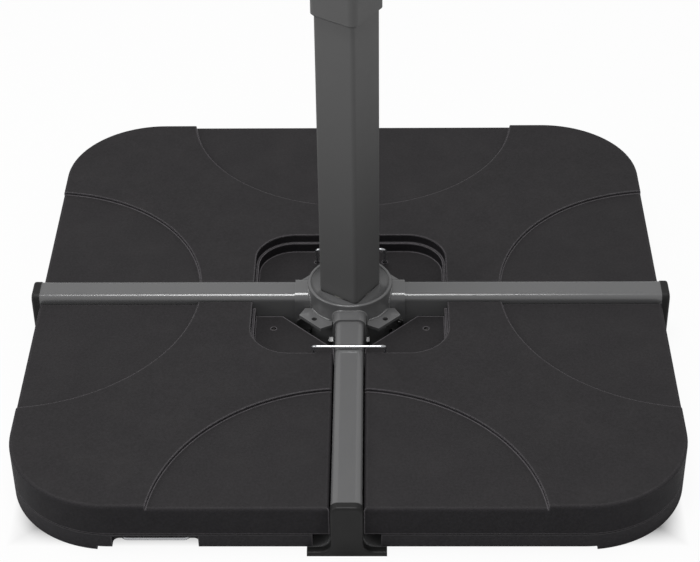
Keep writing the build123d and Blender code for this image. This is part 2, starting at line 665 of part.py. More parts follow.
def make_core(side, turn):
    """Filling inside a casing, with holes for bosses and links and room for the handle."""
    inset = CASE_WALL + CORE_GAP
    joint = SPLIT_LEVEL + inset
    room_half = HANDLE_HALF + HANDLE_HOOK + HANDLE_WIRE + CORE_GAP
    room_back = HANDLE_BACK - HANDLE_WIRE - CORE_GAP
    with BuildPart() as core:
        upper_body(turn, joint, inset)
        lower_cavity(turn, TRAY_LOW + inset, joint, inset, Mode.ADD)
        drill(turn, LINK_SPOTS, LINK_HOLE, TRAY_LOW, WEIGHT_TOP)
        with BuildSketch(deck(turn, TRAY_LOW)):
            with Locations((HANDLE_CENTRE, (room_back + NOTCH_WALL) / 2)):
                Rectangle(2 * room_half, NOTCH_WALL - room_back)
        extrude(amount=HANDLE_LEVEL + HANDLE_WIRE + CORE_GAP - TRAY_LOW, mode=Mode.SUBTRACT)
    save(core, f"weight_core_{side}")


def make_carry_handle(side, turn):
    """Wire handle that slides out of the tray's notch until its hooks stop it."""
    place = deck(turn, HANDLE_LEVEL)
    bar = WEIGHT_REACH - HANDLE_INSET
    corners = (
        (-HANDLE_HALF - HANDLE_HOOK, HANDLE_BACK),
        (-HANDLE_HALF, HANDLE_BACK),
        (-HANDLE_HALF, bar),
        (HANDLE_HALF, bar),
        (HANDLE_HALF, HANDLE_BACK),
        (HANDLE_HALF + HANDLE_HOOK, HANDLE_BACK),
    )
    with BuildPart() as handle:
        with BuildLine() as path:
            FilletPolyline(
                *[place.from_local_coords((HANDLE_CENTRE + x, y, 0)) for x, y in corners],
                radius=HANDLE_BEND,
            )
        wire(path, HANDLE_WIRE)
    save(handle, f"carry_handle_{side}")


def make_case_screws(side, turn):
    """Four screws that hold a tray up against its cover."""
    tip = SPLIT_LEVEL + CASE_SCREW_DEPTH
    with BuildPart() as screws:
        with BuildSketch(deck(turn, SCREW_SEAT - CASE_SCREW_HEAD_THICK)):
            with Locations(*SCREW_SPOTS):
                Circle(CASE_SCREW_HEAD)
        extrude(amount=CASE_SCREW_HEAD_THICK)
        with BuildSketch(deck(turn, SCREW_SEAT)):
            with Locations(*SCREW_SPOTS):
                Circle(CASE_SCREW)
        extrude(amount=tip - SCREW_SEAT)
    save(screws, f"case_screws_{side}")


def make_link_clip(side, turn, lean):
    """Wire staple across an arm, with one leg in each of the weights beside it."""
    place = deck(turn, 0)
    bar = LINK_FAR + lean
    points = (
        (-LINK_NEAR, LINK_FAR, CLIP_LOW),
        (-LINK_NEAR, LINK_FAR, CLIP_KNEE),
        (-LINK_NEAR, bar, CLIP_LEVEL),
        (LINK_NEAR, bar, CLIP_LEVEL),
        (LINK_NEAR, LINK_FAR, CLIP_KNEE),
        (LINK_NEAR, LINK_FAR, CLIP_LOW),
    )
    with BuildPart() as clip:
        with BuildLine() as path:
            FilletPolyline(*[place.from_local_coords(point) for point in points], radius=CLIP_BEND)
        wire(path, CLIP_WIRE)
    save(clip, f"link_clip_{side}")


os.makedirs("parts", exist_ok=True)
for arm_side, arm_angle in ARMS.items():
    make_arm(arm_side, arm_angle)
    make_end_cap(arm_side, arm_angle)
    make_saddle(arm_side, arm_angle)
make_hub_shell()
make_arm_fasteners()
make_bearings()
make_mast_foot()
make_mast()
make_retaining_bolt()
for weight_side, weight_turn in WEIGHTS.items():
    make_cover(weight_side, weight_turn)
    make_tray(weight_side, weight_turn)
    make_core(weight_side, weight_turn)
    make_carry_handle(weight_side, weight_turn)
    make_case_screws(weight_side, weight_turn)
for clip_side, (clip_turn, clip_lean) in CLIPS.items():
    make_link_clip(clip_side, clip_turn, clip_lean)
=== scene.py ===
"""Finish of a parasol base: materials, welds, fasteners and wire, and a studio to show it in."""
import math

import bmesh
import bpy
from mathutils import Matrix, Vector


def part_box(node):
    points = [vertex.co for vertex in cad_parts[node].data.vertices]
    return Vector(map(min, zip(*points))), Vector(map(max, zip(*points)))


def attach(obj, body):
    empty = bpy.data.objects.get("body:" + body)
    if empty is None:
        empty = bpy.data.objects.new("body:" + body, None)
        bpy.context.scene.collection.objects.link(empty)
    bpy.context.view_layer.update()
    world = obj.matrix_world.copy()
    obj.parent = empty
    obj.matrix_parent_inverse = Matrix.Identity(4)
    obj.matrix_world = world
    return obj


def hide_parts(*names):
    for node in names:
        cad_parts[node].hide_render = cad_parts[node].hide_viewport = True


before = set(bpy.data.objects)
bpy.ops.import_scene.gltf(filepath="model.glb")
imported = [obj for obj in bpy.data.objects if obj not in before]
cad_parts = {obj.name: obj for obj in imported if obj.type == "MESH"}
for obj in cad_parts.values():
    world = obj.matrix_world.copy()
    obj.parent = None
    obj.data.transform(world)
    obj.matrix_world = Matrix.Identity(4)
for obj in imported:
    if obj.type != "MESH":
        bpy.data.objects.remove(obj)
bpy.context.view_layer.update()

bl_info = {
    "name": "Parasol Base",
    "version": (1, 0, 0),
    "blender": (4, 5, 0),
    "location": "View3D > Sidebar > Parasol Base",
    "description": "Finishes the pieces of a cross-shaped parasol base and sets up its studio",
    "category": "Object",
}

MM = 0.001
SIDES = {"right": 0, "rear": 90, "left": 180, "front": 270}
QUARTERS = ("rear_right", "rear_left", "front_left", "front_right")
UP = Vector((0, 0, 1))

# collar screws: button heads with a hexagon socket
BUTTON_RADIUS = 5.3 * MM
BUTTON_HEIGHT = 3.2 * MM
BUTTON_DOME = 2.0 * MM
SOCKET_FLATS = 3.6 * MM
SOCKET_DEPTH = 1.9 * MM
SCREW_RADIUS = 2.95 * MM
SCREW_LENGTH = 7.9 * MM

# arm bolts and nuts
BOLT_RADIUS = 4.0 * MM
BOLT_ROOT = 3.3 * MM
BOLT_TAIL = 8.1 * MM          # how far the bolt stands out past the saddle
BOLT_HEAD = 4.9 * MM
NUT_HEIGHT = 6.5 * MM
CORNER_CHAMFER = 0.55 * MM
TAIL_CHAMFER = 0.5 * MM
HEAD_FLANGE = 0.4 * MM
FLANGE_SHARE = 0.48           # radius of the flange, as a share of the flats

SADDLE_SHOULDER = 0.56        # rounding of a saddle's shoulder, as a share of its half width
SADDLE_STEP = 10              # degrees between two points of a saddle's weld
GUSSET_STEPS = 12             # stretches of a gusset's weld

# studio, in metres
FLOOR_HALF = 12.0
FLOOR_DROP = 0.0004           # floor below the feet of the base
FLOOR_COLOUR = (0.78, 0.78, 0.78, 1)
GLOW_SHARE = 0.94             # how far the floor's own light covers its colour
GLOW_EDGE = 25.0              # sharpness of the glow's edge round the base
SOFTBOX_AIM = Vector((0, 0, 0.08))
TOP_SOFTBOX = (-0.2, -0.2, 3.2)
TOP_SOFTBOX_SIZE = 1.2
LEFT_SOFTBOX = (-3.4, -0.6, 2.0)
LEFT_SOFTBOX_SIZE = 1.6
CAMERA_PLACE = Vector((0.0446, -2.4270, 1.9367))
CAMERA_TARGET = Vector((-0.0024, 0.1367, 0.0))
CAMERA_ROLL = -0.75           # degrees


# ---- settings ------------------------------------------------------------------------
class FinishSettings(bpy.types.PropertyGroup):
    """Colours and textures of the base's finishes."""

    casing_colour: bpy.props.FloatVectorProperty(
        name="Casing colour", description="Charcoal of the moulded casings",
        subtype="COLOR", size=3, min=0, max=1, default=(0.0140, 0.0128, 0.0148),
    )
    # painted light: the tray is paler than the casings so the lower tier looks lit by light bounced
    # off the floor
    tray_colour: bpy.props.FloatVectorProperty(
        name="Tray colour", description="Slightly paler charcoal of the casings' lower tier",
        subtype="COLOR", size=3, min=0, max=1, default=(0.0240, 0.0225, 0.0250),
    )
    frame_colour: bpy.props.FloatVectorProperty(
        name="Frame colour", description="Grey powder coat of the arms and the hub",
        subtype="COLOR", size=3, min=0, max=1, default=(0.13, 0.13, 0.132),
    )
    mast_colour: bpy.props.FloatVectorProperty(
        name="Mast colour", description="Darker powder coat of the mast and its collar",
        subtype="COLOR", size=3, min=0, max=1, default=(0.108, 0.108, 0.108),
    )
    cap_colour: bpy.props.FloatVectorProperty(
        name="Cap colour", description="Black plastic of the end caps",
        subtype="COLOR", size=3, min=0, max=1, default=(0.010, 0.010, 0.010),
    )
    grain_size: bpy.props.FloatProperty(
        name="Grain size", description="Width of one grain moulded into the casings",
        unit="LENGTH", min=0.0002, max=0.01, default=0.0011,
    )
    grain_depth: bpy.props.FloatProperty(
        name="Grain depth", description="Height of the casings' grain",
        unit="LENGTH", min=0, max=0.001, default=0.00012,
    )
    peel_size: bpy.props.FloatProperty(
        name="Orange peel size", description="Width of the ripples in the powder coat",
        unit="LENGTH", min=0.0005, max=0.02, default=0.0022,
    )


class FittingSettings(bpy.types.PropertyGroup):
    """Sizes of the welds and fasteners."""

    weld_radius: bpy.props.FloatProperty(
        name="Weld size", description="Radius of a weld bead",
        unit="LENGTH", min=0.0005, max=0.006, default=0.0021,
    )
    weld_ripple: bpy.props.FloatProperty(
        name="Weld ripple", description="Distance between two ripples of a weld bead",
        unit="LENGTH", min=0.001, max=0.01, default=0.0024,
    )
    bolt_flats: bpy.props.FloatProperty(
        name="Arm bolt flats", description="Width across the flats of the arm bolts' heads",
        unit="LENGTH", min=0.005, max=0.03, default=0.013,
    )
    bolt_pitch: bpy.props.FloatProperty(
        name="Arm bolt pitch", description="Pitch of the arm bolts' thread",
        unit="LENGTH", min=0.0005, max=0.003, default=0.00125,
    )
    mast_turn: bpy.props.FloatProperty(
        name="Mast turn", description="How far the mast is turned about its axis, in degrees",
        min=-180, max=180, default=-33.6,
    )
    collar_side: bpy.props.FloatProperty(
        name="Collar width", description="Width of the collar across its faces",
        unit="LENGTH", min=0.05, max=0.2, default=0.08,
    )
    screw_spread: bpy.props.FloatProperty(
        name="Collar screw spread", description="Middle of a collar face to a screw",
        unit="LENGTH", min=0.005, max=0.04, default=0.017,
    )


class StudioSettings(bpy.types.PropertyGroup):
    """Floor, lights and camera."""

    floor_shade: bpy.props.FloatProperty(
        name="Floor brightness", description="How bright the floor looks to the camera",
        min=0, max=20, default=1.0,
    )
    footprint: bpy.props.FloatProperty(
        name="Shaded floor",
        description="Half the width of the floor that stays dark under the base",
        unit="LENGTH", min=0, max=2, default=0.44,
    )
    top_light: bpy.props.FloatProperty(
        name="Overhead light", description="Power of the softbox above the base",
        unit="POWER", min=0, max=1000, default=52.0,
    )
    side_light: bpy.props.FloatProperty(
        name="Side light", description="Power of the softbox to the left",
        unit="POWER", min=0, max=1000, default=26.0,
    )
    sky: bpy.props.FloatProperty(
        name="Room light", description="Strength of the even light from all round",
        min=0, max=5, default=0.46,
    )
    lens: bpy.props.FloatProperty(
        name="Lens", description="Focal length of the camera",
        subtype="DISTANCE_CAMERA", min=10, max=300, default=99.8,
    )


# ---- shader groups -------------------------------------------------------------------
def group(name, inputs, outputs):
    """A new shader node group with named sockets, and its two end nodes."""
    tree = bpy.data.node_groups.new(name, "ShaderNodeTree")
    for socket, (kind, value) in inputs.items():
        made = tree.interface.new_socket(socket, in_out="INPUT", socket_type=kind)
        made.default_value = value
    for socket, kind in outputs.items():
        tree.interface.new_socket(socket, in_out="OUTPUT", socket_type=kind)
    return tree, tree.nodes.new("NodeGroupInput"), tree.nodes.new("NodeGroupOutput")


def place(tree, kind, links=None, **values):
    """A node with its settings, and its inputs linked or set."""
    node = tree.nodes.new(kind)
    for key, value in values.items():
        setattr(node, key, value)
    for socket, source in (links or {}).items():
        if isinstance(source, bpy.types.NodeSocket):
            tree.links.new(source, node.inputs[socket])
        else:
            node.inputs[socket].default_value = source
    return node


def noise(tree, points, scale, detail=2.0, rough=0.5):
    """Noise over the piece: its value runs from 0 to 1."""
    return place(
        tree, "ShaderNodeTexNoise",
        {"Vector": points, "Scale": scale, "Detail": detail, "Roughness": rough},
    ).outputs["Fac"]


def maths(tree, operation, first, second=0.0, clamp=False):
    """One sum of two values."""
    return place(
        tree, "ShaderNodeMath", {0: first, 1: second}, operation=operation, use_clamp=clamp
    ).outputs[0]


def tone_group():
    """Colour that drifts slowly over the piece and is speckled finely."""
    tree, given, result = group(
        "tone",
        {
            "Colour": ("NodeSocketColor", (0.5, 0.5, 0.5, 1)),
            "Drift": ("NodeSocketFloat", 0.1),
            "Speckle": ("NodeSocketFloat", 0.1),
            "Speckle Size": ("NodeSocketFloat", 0.001),
        },
        {"Colour": "NodeSocketColor"},
    )
    points = place(tree, "ShaderNodeTexCoord").outputs["Object"]
    slow = maths(tree, "SUBTRACT", noise(tree, points, 7.0, 4.0, 0.62), 0.5)
    density = maths(tree, "DIVIDE", 1.0, given.outputs["Speckle Size"])
    fine = maths(tree, "SUBTRACT", noise(tree, points, density, 1.0), 0.5)
    slow = maths(tree, "MULTIPLY", slow, given.outputs["Drift"])
    fine = maths(tree, "MULTIPLY", fine, given.outputs["Speckle"])
    factor = maths(tree, "ADD", maths(tree, "ADD", slow, fine), 1.0)
    scaled = place(
        tree, "ShaderNodeVectorMath",
        {0: given.outputs["Colour"], "Scale": factor}, operation="SCALE",
    )
    tree.links.new(scaled.outputs[0], result.inputs["Colour"])
    return tree


def grain_group():
    """Height of a moulded grain or a paint's orange peel, in metres."""
    tree, given, result = group(
        "grain",
        {"Size": ("NodeSocketFloat", 0.001), "Depth": ("NodeSocketFloat", 0.0001)},
        {"Height": "NodeSocketFloat"},
    )
    points = place(tree, "ShaderNodeTexCoord").outputs["Object"]
    density = maths(tree, "DIVIDE", 1.0, given.outputs["Size"])
    coarse = noise(tree, points, density, 1.5)
    height = maths(tree, "MULTIPLY", coarse, given.outputs["Depth"])
    tree.links.new(height, result.inputs["Height"])
    return tree


def dust_group():
    """Mask of fine dust that has settled in soft patches on what faces up."""
    tree, given, result = group(
        "dust",
        {"Amount": ("NodeSocketFloat", 0.1), "Patch": ("NodeSocketFloat", 0.06)},
        {"Mask": "NodeSocketFloat"},
    )
    points = place(tree, "ShaderNodeTexCoord").outputs["Object"]
    normal = place(tree, "ShaderNodeNewGeometry").outputs["Normal"]
    facing = place(tree, "ShaderNodeSeparateXYZ", {0: normal}).outputs["Z"]
    upward = maths(tree, "POWER", maths(tree, "MAXIMUM", facing, 0.0), 3.0)
    density = maths(tree, "DIVIDE", 1.0, given.outputs["Patch"])
    patches = noise(tree, points, density, 5.0, 0.65)
    soft = maths(tree, "MULTIPLY", maths(tree, "SUBTRACT", patches, 0.42, True), 2.2, True)
    mask = maths(tree, "MULTIPLY", maths(tree, "MULTIPLY", soft, upward), given.outputs["Amount"])
    tree.links.new(mask, result.inputs["Mask"])
    return tree


def edge_highlight_and_wear_group():
    """Mask of edges and rims for a painted highlight, with some wear from handling, broken up a
    little.
    """
    tree, given, result = group(
        "edge highlight and wear",
        {"Width": ("NodeSocketFloat", 0.002), "Amount": ("NodeSocketFloat", 0.5)},
        {"Mask": "NodeSocketFloat"},
    )
    rounded = place(tree, "ShaderNodeBevel", {"Radius": given.outputs["Width"]}, samples=6)
    normal = place(tree, "ShaderNodeNewGeometry").outputs["True Normal"]
    match = place(
        tree, "ShaderNodeVectorMath", {0: rounded.outputs[0], 1: normal}, operation="DOT_PRODUCT"
    ).outputs["Value"]
    turned = maths(tree, "MULTIPLY", maths(tree, "SUBTRACT", 1.0, match, True), 9.0, True)
    points = place(tree, "ShaderNodeTexCoord").outputs["Object"]
    broken = maths(tree, "ADD", noise(tree, points, 160.0, 3.0), 0.45, True)
    mask = maths(tree, "MULTIPLY", maths(tree, "MULTIPLY", turned, broken), given.outputs["Amount"])
    tree.links.new(mask, result.inputs["Mask"])
    return tree


def facing_up_group():
    """Mask of a surface that faces up, used for painted light on tops: 1 on a level top, 0 on a wall.
    """
    tree, given, result = group(
        "facing up", {"Amount": ("NodeSocketFloat", 1.0)}, {"Mask": "NodeSocketFloat"}
    )
    normal = place(tree, "ShaderNodeNewGeometry").outputs["Normal"]
    facing = place(tree, "ShaderNodeSeparateXYZ", {0: normal}).outputs["Z"]
    level = maths(tree, "POWER", maths(tree, "MAXIMUM", facing, 0.0), 2.0)
    tree.links.new(maths(tree, "MULTIPLY", level, given.outputs["Amount"]), result.inputs["Mask"])
    return tree


GROUP_MAKERS = {
    "tone": tone_group,
    "grain": grain_group,
    "dust": dust_group,
    "edge highlight and wear": edge_highlight_and_wear_group,
    "facing up": facing_up_group,
}
GROUPS = {}


def use(tree, name, **values):
    """One of the shared groups, placed in a material with its own values."""
    if name not in GROUPS:
        GROUPS[name] = GROUP_MAKERS[name]()
    node = tree.nodes.new("ShaderNodeGroup")
    node.node_tree = GROUPS[name]
    for socket, value in values.items():
        node.inputs[socket.replace("_", " ")].default_value = value
    return node.outputs[0]


# pale colour of dust; the casings' tops are also blended towards it as painted light
DUST_AND_LIT_TOP = (0.30, 0.285, 0.27, 1)


def blend(tree, mask, under, over):
    """One colour laid over another through a mask."""
    node = tree.nodes.new("ShaderNodeMix")
    node.data_type = "RGBA"
    tree.links.new(mask, node.inputs["Factor"])
    for socket, source in ((node.inputs[6], under), (node.inputs[7], over)):
        if isinstance(source, bpy.types.NodeSocket):
            tree.links.new(source, socket)
        else:
            socket.default_value = source
    return node.outputs[2]


def finish(name, colour, rough, metallic=0.0, specular=0.5, drift=0.1, speckle=0.1,
           speckle_size=0.001, grain=0.0, grain_size=0.001, rough_spread=0.1, dust=0.0,
           painted_top_light=0.0, edge=0.0, edge_width=0.002, edge_colour=(0.2, 0.2, 0.2)):
    """A material: toned colour, painted light on its tops, dust, edges lightened as painted highlight
    with some rubbed wear, and a grain.
    """
    material = bpy.data.materials.new(name)
    material.use_nodes = True
    tree = material.node_tree
    shader = tree.nodes["Principled BSDF"]
    toned = use(
        tree, "tone", Colour=(*colour, 1), Drift=drift, Speckle=speckle, Speckle_Size=speckle_size
    )
    # painted light: level tops blended towards a pale colour, as if lit from overhead
    if painted_top_light:
        toned = blend(tree, use(tree, "facing up", Amount=painted_top_light), toned, DUST_AND_LIT_TOP)
    if dust:
        toned = blend(tree, use(tree, "dust", Amount=dust, Patch=0.07), toned, DUST_AND_LIT_TOP)
    # painted highlight: edges and rims lightened, with some rubbed wear
    if edge:
        highlit_worn_edges = use(tree, "edge highlight and wear", Width=edge_width, Amount=edge)
        toned = blend(tree, highlit_worn_edges, toned, (*edge_colour, 1))
    tree.links.new(toned, shader.inputs["Base Color"])
    points = place(tree, "ShaderNodeTexCoord").outputs["Object"]
    uneven = noise(tree, points, 38.0, 4.0, 0.6)
    spread = place(
        tree, "ShaderNodeMapRange",
        {0: uneven, 1: 0.25, 2: 0.75, 3: rough - rough_spread, 4: rough + rough_spread},
    )
    tree.links.new(spread.outputs[0], shader.inputs["Roughness"])
    shader.inputs["Metallic"].default_value = metallic
    shader.inputs["Specular IOR Level"].default_value = specular
    if grain:
        height = use(tree, "grain", Size=grain_size, Depth=grain)
        bump = place(tree, "ShaderNodeBump", {"Height": height, "Distance": 1.0, "Strength": 1.0})
        tree.links.new(bump.outputs[0], shader.inputs["Normal"])
    return material


def dress(names, material):
    """Give CAD nodes their finish."""
    for name in names:
        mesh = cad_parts[name].data
        mesh.materials.clear()
        mesh.materials.append(material)


# ---- shapes --------------------------------------------------------------------------
def heading(side):
    """Outward and sideways directions of an arm."""
    turn = math.radians(SIDES[side])
    return Vector((math.cos(turn), math.sin(turn), 0)), Vector((-math.sin(turn), math.cos(turn), 0))


def as_piece(name, mesh, material, body, smooth_angle=35):
    """Put a finished mesh on its body as a piece."""
    mesh.materials.clear()
    mesh.materials.append(material)
    piece = bpy.data.objects.new(name, mesh)
    bpy.context.scene.collection.objects.link(piece)
    mesh.shade_smooth()
    mesh.set_sharp_from_angle(angle=math.radians(smooth_angle))
    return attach(piece, body)


def axis_frame(direction):
    """Rotation that takes +Z to a direction."""
    return direction.to_track_quat("Z", "Y").to_matrix().to_4x4()


def corner_reach(flats):
    """Middle of a hexagon to a corner, from its width across the flats."""
    return flats / 2 / math.cos(math.radians(30))


def hexagon(flats, height, chamfer):
    """Hexagon prism on its foot, with the corners of its outer end turned off."""
    shape = bmesh.new()
    radius = corner_reach(flats)
    bmesh.ops.create_cone(
        shape, cap_ends=True, segments=6, radius1=radius, radius2=radius, depth=height
    )
    rim = [e for e in shape.edges if all(v.co.z > 0 for v in e.verts)]
    bmesh.ops.bevel(
        shape, geom=rim, offset=chamfer, segments=2, profile=0.5, affect="EDGES", material=-1
    )
    bmesh.ops.translate(shape, verts=shape.verts, vec=(0, 0, height / 2))
    return shape


def disc(radius, height, chamfer=0.0):
    """Round disc on its foot, with the edge of its outer end softened."""
    shape = bmesh.new()
    bmesh.ops.create_cone(
        shape, cap_ends=True, segments=48, radius1=radius, radius2=radius, depth=height
    )
    if chamfer:
        rim = [e for e in shape.edges if all(v.co.z > 0 for v in e.verts)]
        bmesh.ops.bevel(
            shape, geom=rim, offset=chamfer, segments=3, profile=0.5, affect="EDGES", material=-1
        )
    bmesh.ops.translate(shape, verts=shape.verts, vec=(0, 0, height / 2))
    return shape


def socket_head(radius, height, dome, flats, depth):
    """Domed screw head on its foot, with a hexagon socket in its outer end."""
    shape = disc(radius, height, dome)
    outer = max(shape.faces, key=lambda face: face.calc_center_median().z)
    bmesh.ops.delete(shape, geom=[outer], context="FACES_ONLY")
    corner = corner_reach(flats)
    cup = bmesh.ops.create_cone(
        shape, cap_ends=True, segments=6, radius1=corner, radius2=corner, depth=depth
    )["verts"]
    bmesh.ops.translate(shape, verts=cup, vec=(0, 0, height - depth / 2))
    lid = max((f for v in cup for f in v.link_faces), key=lambda face: face.calc_center_median().z)
    bmesh.ops.delete(shape, geom=[lid], context="FACES_ONLY")
    bmesh.ops.bridge_loops(shape, edges=[e for e in shape.edges if e.is_boundary])
    return shape


def thread(radius, pitch, length):
    """Screw thread from the foot upwards, spun from one V-shaped tooth."""
    shape = bmesh.new()
    turns = round(length / pitch) - 1
    steps = 20
    root = radius - pitch * 0.6
    tooth = [
        shape.verts.new((reach, 0, level * pitch))
        for reach, level in ((root, 0.0), (radius, 0.5), (root, 1.0))
    ]
    edges = [shape.edges.new(pair) for pair in zip(tooth, tooth[1:])]
    bmesh.ops.spin(
        shape, geom=tooth + edges, cent=(0, 0, 0), axis=(0, 0, 1), dvec=(0, 0, pitch / steps),
        angle=math.tau * turns, steps=steps * turns, use_merge=False, use_duplicate=False,
    )
    return shape


def assemble(name, parts):
    """One mesh from shapes, each stood on its own spot along its own direction."""
    whole = bmesh.new()
    for shape, where, direction in parts:
        bmesh.ops.remove_doubles(shape, verts=shape.verts, dist=1e-7)
        bmesh.ops.recalc_face_normals(shape, faces=shape.faces)
        shape.transform(Matrix.Translation(where) @ axis_frame(direction))
        loose = bpy.data.meshes.new(name)
        shape.to_mesh(loose)
        shape.free()
        whole.from_mesh(loose)
        bpy.data.meshes.remove(loose)
    mesh = bpy.data.meshes.new(name)
    whole.to_mesh(mesh)
    whole.free()
    return mesh


def bead(name, points, radius, ripple, material):
    """Weld bead along a line, swelling and thinning with each ripple."""
    line = bpy.data.curves.new(name, "CURVE")
    line.dimensions = "3D"
    line.bevel_depth = radius
    line.bevel_resolution = 3
    line.use_fill_caps = True
    path = line.splines.new("POLY")
    length = [0.0]
    for first, second in zip(points, points[1:]):
        length.append(length[-1] + (second - first).length)
    count = max(8, int(length[-1] / ripple * 4))
    path.points.add(count)
    for number in range(count + 1):
        along = length[-1] * number / count
        leg = max(i for i, start in enumerate(length[:-1]) if start <= along + 1e-9)
        share = (along - length[leg]) / max(length[leg + 1] - length[leg], 1e-9)
        spot = points[leg].lerp(points[leg + 1], share)
        path.points[number].co = (*spot, 1)
        end = min(1.0, 0.55 + 0.15 * min(number, count - number))
        path.points[number].radius = end * (1 + 0.16 * math.cos(math.tau * along / ripple))
    holder = bpy.data.objects.new(name, line)
    mesh = bpy.data.meshes.new_from_object(holder)
    mesh.name = name
    bpy.data.objects.remove(holder)
    bpy.data.curves.remove(line)
    return as_piece(name, mesh, material, "cross_frame", 60)


FINISHES = {}


def make_finishes(settings):
    """Every material of the base, by the name of its finish."""
    FINISHES.update({
        # casing: painted light on its tops, painted highlight with some rubbed wear on its edges
        "casing": finish(
            "charcoal_casing", settings.casing_colour, 0.7, specular=0.22, drift=0.16,
            speckle=1.0, speckle_size=settings.grain_size * 3.2, grain=settings.grain_depth,
            grain_size=settings.grain_size, rough_spread=0.05, dust=0.02, painted_top_light=0.028,
            edge=1.0, edge_width=0.0036, edge_colour=(0.16, 0.15, 0.16),
        ),
        # tray: paler charcoal as painted light from the floor on the lower tier
        "tray": finish(
            "charcoal_tray_painted_floor_light", settings.tray_colour, 0.7, specular=0.22, drift=0.16,
            speckle=0.8, speckle_size=settings.grain_size * 3.2, grain=settings.grain_depth,
            grain_size=settings.grain_size, rough_spread=0.05, dust=0.02,
            edge=0.5, edge_width=0.003, edge_colour=(0.13, 0.125, 0.13),
        ),
        "frame": finish(
            "grey_powder_coat", settings.frame_colour, 0.22, specular=0.8, drift=0.04, speckle=0.05,
            grain=0.00002, grain_size=settings.peel_size, rough_spread=0.04, dust=0.02,
            edge=0.15, edge_width=0.0015, edge_colour=(0.35, 0.35, 0.35),
        ),
        "mast": finish(
            "dark_powder_coat", settings.mast_colour, 0.5, drift=0.03, speckle=0.04,
            grain=0.00002, grain_size=settings.peel_size, rough_spread=0.04,
        ),
        "cap": finish(
            "black_cap_plastic", settings.cap_colour, 0.5, specular=0.3, drift=0.08,
            speckle=0.1, grain=0.00003, grain_size=0.0009, rough_spread=0.06, dust=0.03,
            edge=0.15, edge_width=0.002, edge_colour=(0.12, 0.12, 0.12),
        ),
        "wire": finish(
            "bright_plated_wire", (0.66, 0.67, 0.69), 0.27, metallic=1.0, drift=0.08,
            speckle=0.05, rough_spread=0.06,
        ),
        "zinc": finish(
            "zinc_plated_steel", (0.55, 0.55, 0.53), 0.34, metallic=1.0, drift=0.15,
            speckle=0.12, grain=0.00001, grain_size=0.0006, rough_spread=0.08,
        ),
        "bolt": finish(
            "dulled_bolt_steel", (0.16, 0.16, 0.16), 0.45, metallic=1.0, drift=0.2,
            speckle=0.15, grain=0.00001, grain_size=0.0006, rough_spread=0.08,
        ),
        "acetal": finish(
            "acetal_bush", (0.68, 0.66, 0.60), 0.42, drift=0.04, speckle=0.03,
        ),
        "concrete": finish(
            "cast_concrete", (0.36, 0.35, 0.33), 0.9, drift=0.3, speckle=0.35,
            speckle_size=0.002, grain=0.0004, grain_size=0.003, rough_spread=0.05,
        ),
    })


# ---- operators -----------------------------------------------------------------------
class PARASOL_OT_finishes(bpy.types.Operator):
    """Make the materials of the base"""

    bl_idname = "parasol.finishes"
    bl_label = "Finishes"

    def execute(self, context):
        make_finishes(context.scene.parasol_finish)
        return {"FINISHED"}


class PARASOL_OT_casings(bpy.types.Operator):
    """Finish the four filled casings"""

    bl_idname = "parasol.casings"
    bl_label = "Casings"

    def execute(self, context):
        dress([f"weight_cover_{quarter}" for quarter in QUARTERS], FINISHES["casing"])
        dress([f"weight_tray_{quarter}" for quarter in QUARTERS], FINISHES["tray"])
        dress([f"weight_core_{quarter}" for quarter in QUARTERS], FINISHES["concrete"])
        dress([f"case_screws_{quarter}" for quarter in QUARTERS], FINISHES["zinc"])
        return {"FINISHED"}


class PARASOL_OT_frame(bpy.types.Operator):
    """Finish the arms and the hub, and weld the saddles and gussets to the drum"""

    bl_idname = "parasol.frame"
    bl_label = "Cross frame"

    def execute(self, context):
        painted = ["hub_drum", "hub_floor", "hub_gussets", "lower_bearing_seat", "upper_bearing_ring"]
        painted += [f"arm_{side}" for side in SIDES] + [f"arm_saddle_{side}" for side in SIDES]
        dress(painted, FINISHES["frame"])
        dress([f"end_cap_{side}" for side in SIDES], FINISHES["cap"])
        dress(["lower_bush", "upper_bush", "thrust_washer"], FINISHES["acetal"])
        self.weld_saddles(context.scene.parasol_fitting)
        self.weld_gussets(context.scene.parasol_fitting)
        return {"FINISHED"}

    def weld_saddles(self, sizes):
        """A bead up one side of each saddle, over its top and down the other side."""
        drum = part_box("hub_drum")[1].x
        for side in SIDES:
            outward, sideways = heading(side)
            low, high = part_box(f"arm_saddle_{side}")
            half = max(abs((high - low).dot(sideways)) / 2, 0.001)
            shoulder = half * SADDLE_SHOULDER
            outline = [(-half, low.z)]
            for angle in range(0, 91, SADDLE_STEP):
                turn = math.radians(angle)
                across = -(half - shoulder) - shoulder * math.cos(turn)
                outline.append((across, high.z - shoulder + shoulder * math.sin(turn)))
            outline += [(-across, level) for across, level in reversed(outline)]
            points = [
                outward * math.sqrt(drum ** 2 - across ** 2) + sideways * across + UP * level
                for across, level in outline
            ]
            name = f"saddle_weld_{side}"
            bead(name, points, sizes.weld_radius, sizes.weld_ripple, FINISHES["frame"])

    def weld_gussets(self, sizes):
        """A bead along the top and the underside of each gusset, round the drum."""
        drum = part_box("hub_drum")[1].x
        low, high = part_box("hub_gussets")
        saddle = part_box("arm_saddle_right")[1].y + 2 * sizes.weld_radius
        margin = math.asin(saddle / drum)
        for number, quarter in enumerate(QUARTERS):
            for face, level in (("top", high.z), ("under", low.z)):
                start = math.radians(90 * number) + margin
                sweep = math.pi / 2 - 2 * margin
                turns = [start + sweep * step / GUSSET_STEPS for step in range(GUSSET_STEPS + 1)]
                points = [
                    Vector((drum * math.cos(turn), drum * math.sin(turn), level)) for turn in turns
                ]
                name = f"gusset_weld_{face}_{quarter}"
                bead(name, points, sizes.weld_radius, sizes.weld_ripple, FINISHES["frame"])


